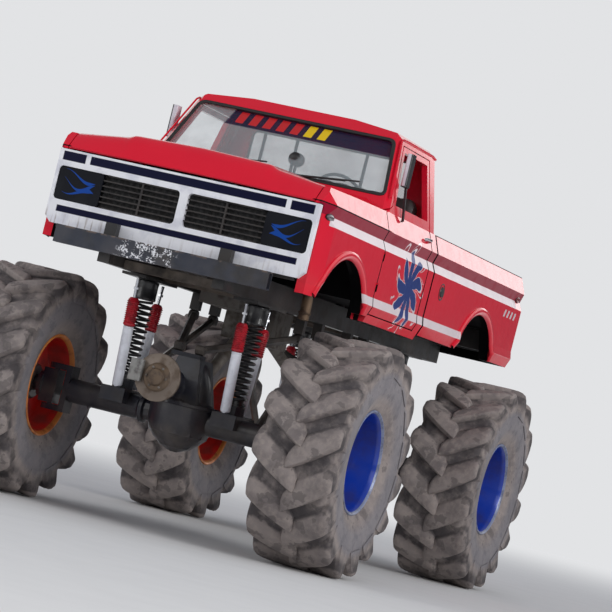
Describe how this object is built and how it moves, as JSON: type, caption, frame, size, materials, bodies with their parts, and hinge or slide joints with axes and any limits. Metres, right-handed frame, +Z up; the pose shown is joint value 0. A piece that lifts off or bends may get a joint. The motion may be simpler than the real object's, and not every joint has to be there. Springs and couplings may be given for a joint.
{
  "type": "lifted pickup truck",
  "caption": "Regular-cab long-bed pickup on a tall link-and-coil suspension with farm tractor tyres; steers, rolls, and its doors, hood and tailgate open.",
  "frame": {"origin": "on the ground under the middle of the whole truck", "axes": "+X to the truck's left, +Y to its tail, +Z up"},
  "size_m": [2.96, 5.42, 3.178],
  "materials": {
    "chassis_paint": "satin, dusty",
    "axle_paint": "satin, dusty",
    "worn_steel": "rusty",
    "cast_grey": "matt",
    "spring_steel": "satin",
    "shock_white": "gloss",
    "boot_red": "matt",
    "chrome": "polished",
    "body_red": "gloss",
    "black_rubber": "matt",
    "glass": "clear",
    "seat_vinyl": "satin",
    "dark_plastic": "satin",
    "trim_white": "gloss",
    "grille_dark": "satin",
    "cover_navy": "gloss",
    "bumper_navy": "chipped gloss",
    "lamp_red": "gloss",
    "tyre": "dusty",
    "rim_blue": "gloss"
  },
  "bodies": {
    "root": {"frame_rails": "chassis_paint", "crossmembers": "chassis_paint", "front_axle": "axle_paint", "rear_axle": "axle_paint", "pinion_brakes": "worn_steel", "brake_calipers": "cast_grey", "suspension_links": "chassis_paint", "coil_springs": "spring_steel", "spring_cans": "chassis_paint", "shock_bodies": "shock_white", "shock_boots": "boot_red", "shock_rods": "chrome", "engine_block": "cast_grey", "gearbox": "cast_grey", "transfer_case": "cast_grey", "driveshafts": "chassis_paint", "radiator": "chassis_paint", "radiator_support": "chassis_paint", "cab": "body_red", "cab_mounts": "black_rubber", "windshield": "glass", "rear_window": "glass", "seat": "seat_vinyl", "dashboard": "dark_plastic", "steering_wheel": "dark_plastic", "fender_left": "body_red", "fender_right": "body_red", "grille_surround": "trim_white", "grille_bars": "grille_dark", "lamp_covers": "cover_navy", "front_bumper": "bumper_navy", "bumper_brackets": "chassis_paint", "bed": "body_red", "bed_sills": "chassis_paint", "tail_lamps": "lamp_red", "tow_plate": "chassis_paint"},
    "door_left": {"door_left": "body_red", "mirror_left": "dark_plastic"},
    "door_right": {"door_right": "body_red", "mirror_right": "dark_plastic"},
    "hood": {"hood": "body_red"},
    "tailgate": {"tailgate": "body_red"},
    "knuckle_left": {"knuckle_left": "axle_paint"},
    "knuckle_right": {"knuckle_right": "axle_paint"},
    "tie_rod": {"tie_rod": "chassis_paint"},
    "wheel_front_left": {"tyre_front_left": "tyre", "rim_front_left": "rim_blue"},
    "wheel_front_right": {"tyre_front_right": "tyre", "rim_front_right": "rim_blue"},
    "wheel_rear_left": {"tyre_rear_left": "tyre", "rim_rear_left": "rim_blue"},
    "wheel_rear_right": {"tyre_rear_right": "tyre", "rim_rear_right": "rim_blue"}
  },
  "joints": [
    {"name": "door_left_hinge", "type": "hinge", "parent": "root", "child": "door_left", "pos_m": [1.006, -1.146, 2.1], "axis": [0, 0, -1], "range_deg": [0, 65]},
    {"name": "door_right_hinge", "type": "hinge", "parent": "root", "child": "door_right", "pos_m": [-1.006, -1.146, 2.1], "axis": [0, 0, 1], "range_deg": [0, 65]},
    {"name": "hood_hinge", "type": "hinge", "parent": "root", "child": "hood", "pos_m": [0, -1.216, 2.632], "axis": [-1, 0, 0], "range_deg": [0, 50]},
    {"name": "tailgate_hinge", "type": "hinge", "parent": "root", "child": "tailgate", "pos_m": [0, 2.692, 1.99], "axis": [-1, 0, 0], "range_deg": [0, 90]},
    {"name": "steer_left", "type": "hinge", "parent": "root", "child": "knuckle_left", "pos_m": [0.93, -1.78, 0.8], "axis": [0, 0, 1], "range_deg": [-25, 25]},
    {"name": "steer_right", "type": "hinge", "parent": "root", "child": "knuckle_right", "pos_m": [-0.93, -1.78, 0.8], "axis": [0, 0, 1], "range_deg": [-25, 25]},
    {"name": "tie_rod_pin", "type": "hinge", "parent": "knuckle_left", "child": "tie_rod", "pos_m": [0.93, -1.49, 0.76], "axis": [0, 0, 1], "range_deg": [-25, 25]},
    {"name": "spin_front_left", "type": "hinge", "parent": "knuckle_left", "child": "wheel_front_left", "pos_m": [1.185, -1.78, 0.8], "axis": [1, 0, 0], "continuous": true},
    {"name": "spin_front_right", "type": "hinge", "parent": "knuckle_right", "child": "wheel_front_right", "pos_m": [-1.185, -1.78, 0.8], "axis": [1, 0, 0], "continuous": true},
    {"name": "spin_rear_left", "type": "hinge", "parent": "root", "child": "wheel_rear_left", "pos_m": [1.185, 1.598, 0.8], "axis": [1, 0, 0], "continuous": true},
    {"name": "spin_rear_right", "type": "hinge", "parent": "root", "child": "wheel_rear_right", "pos_m": [-1.185, 1.598, 0.8], "axis": [1, 0, 0], "continuous": true}
  ],
  "couplings": [
    {"joint": "steer_right", "follows": "steer_left", "ratio": 1},
    {"joint": "tie_rod_pin", "follows": "steer_left", "ratio": -1}
  ]
}
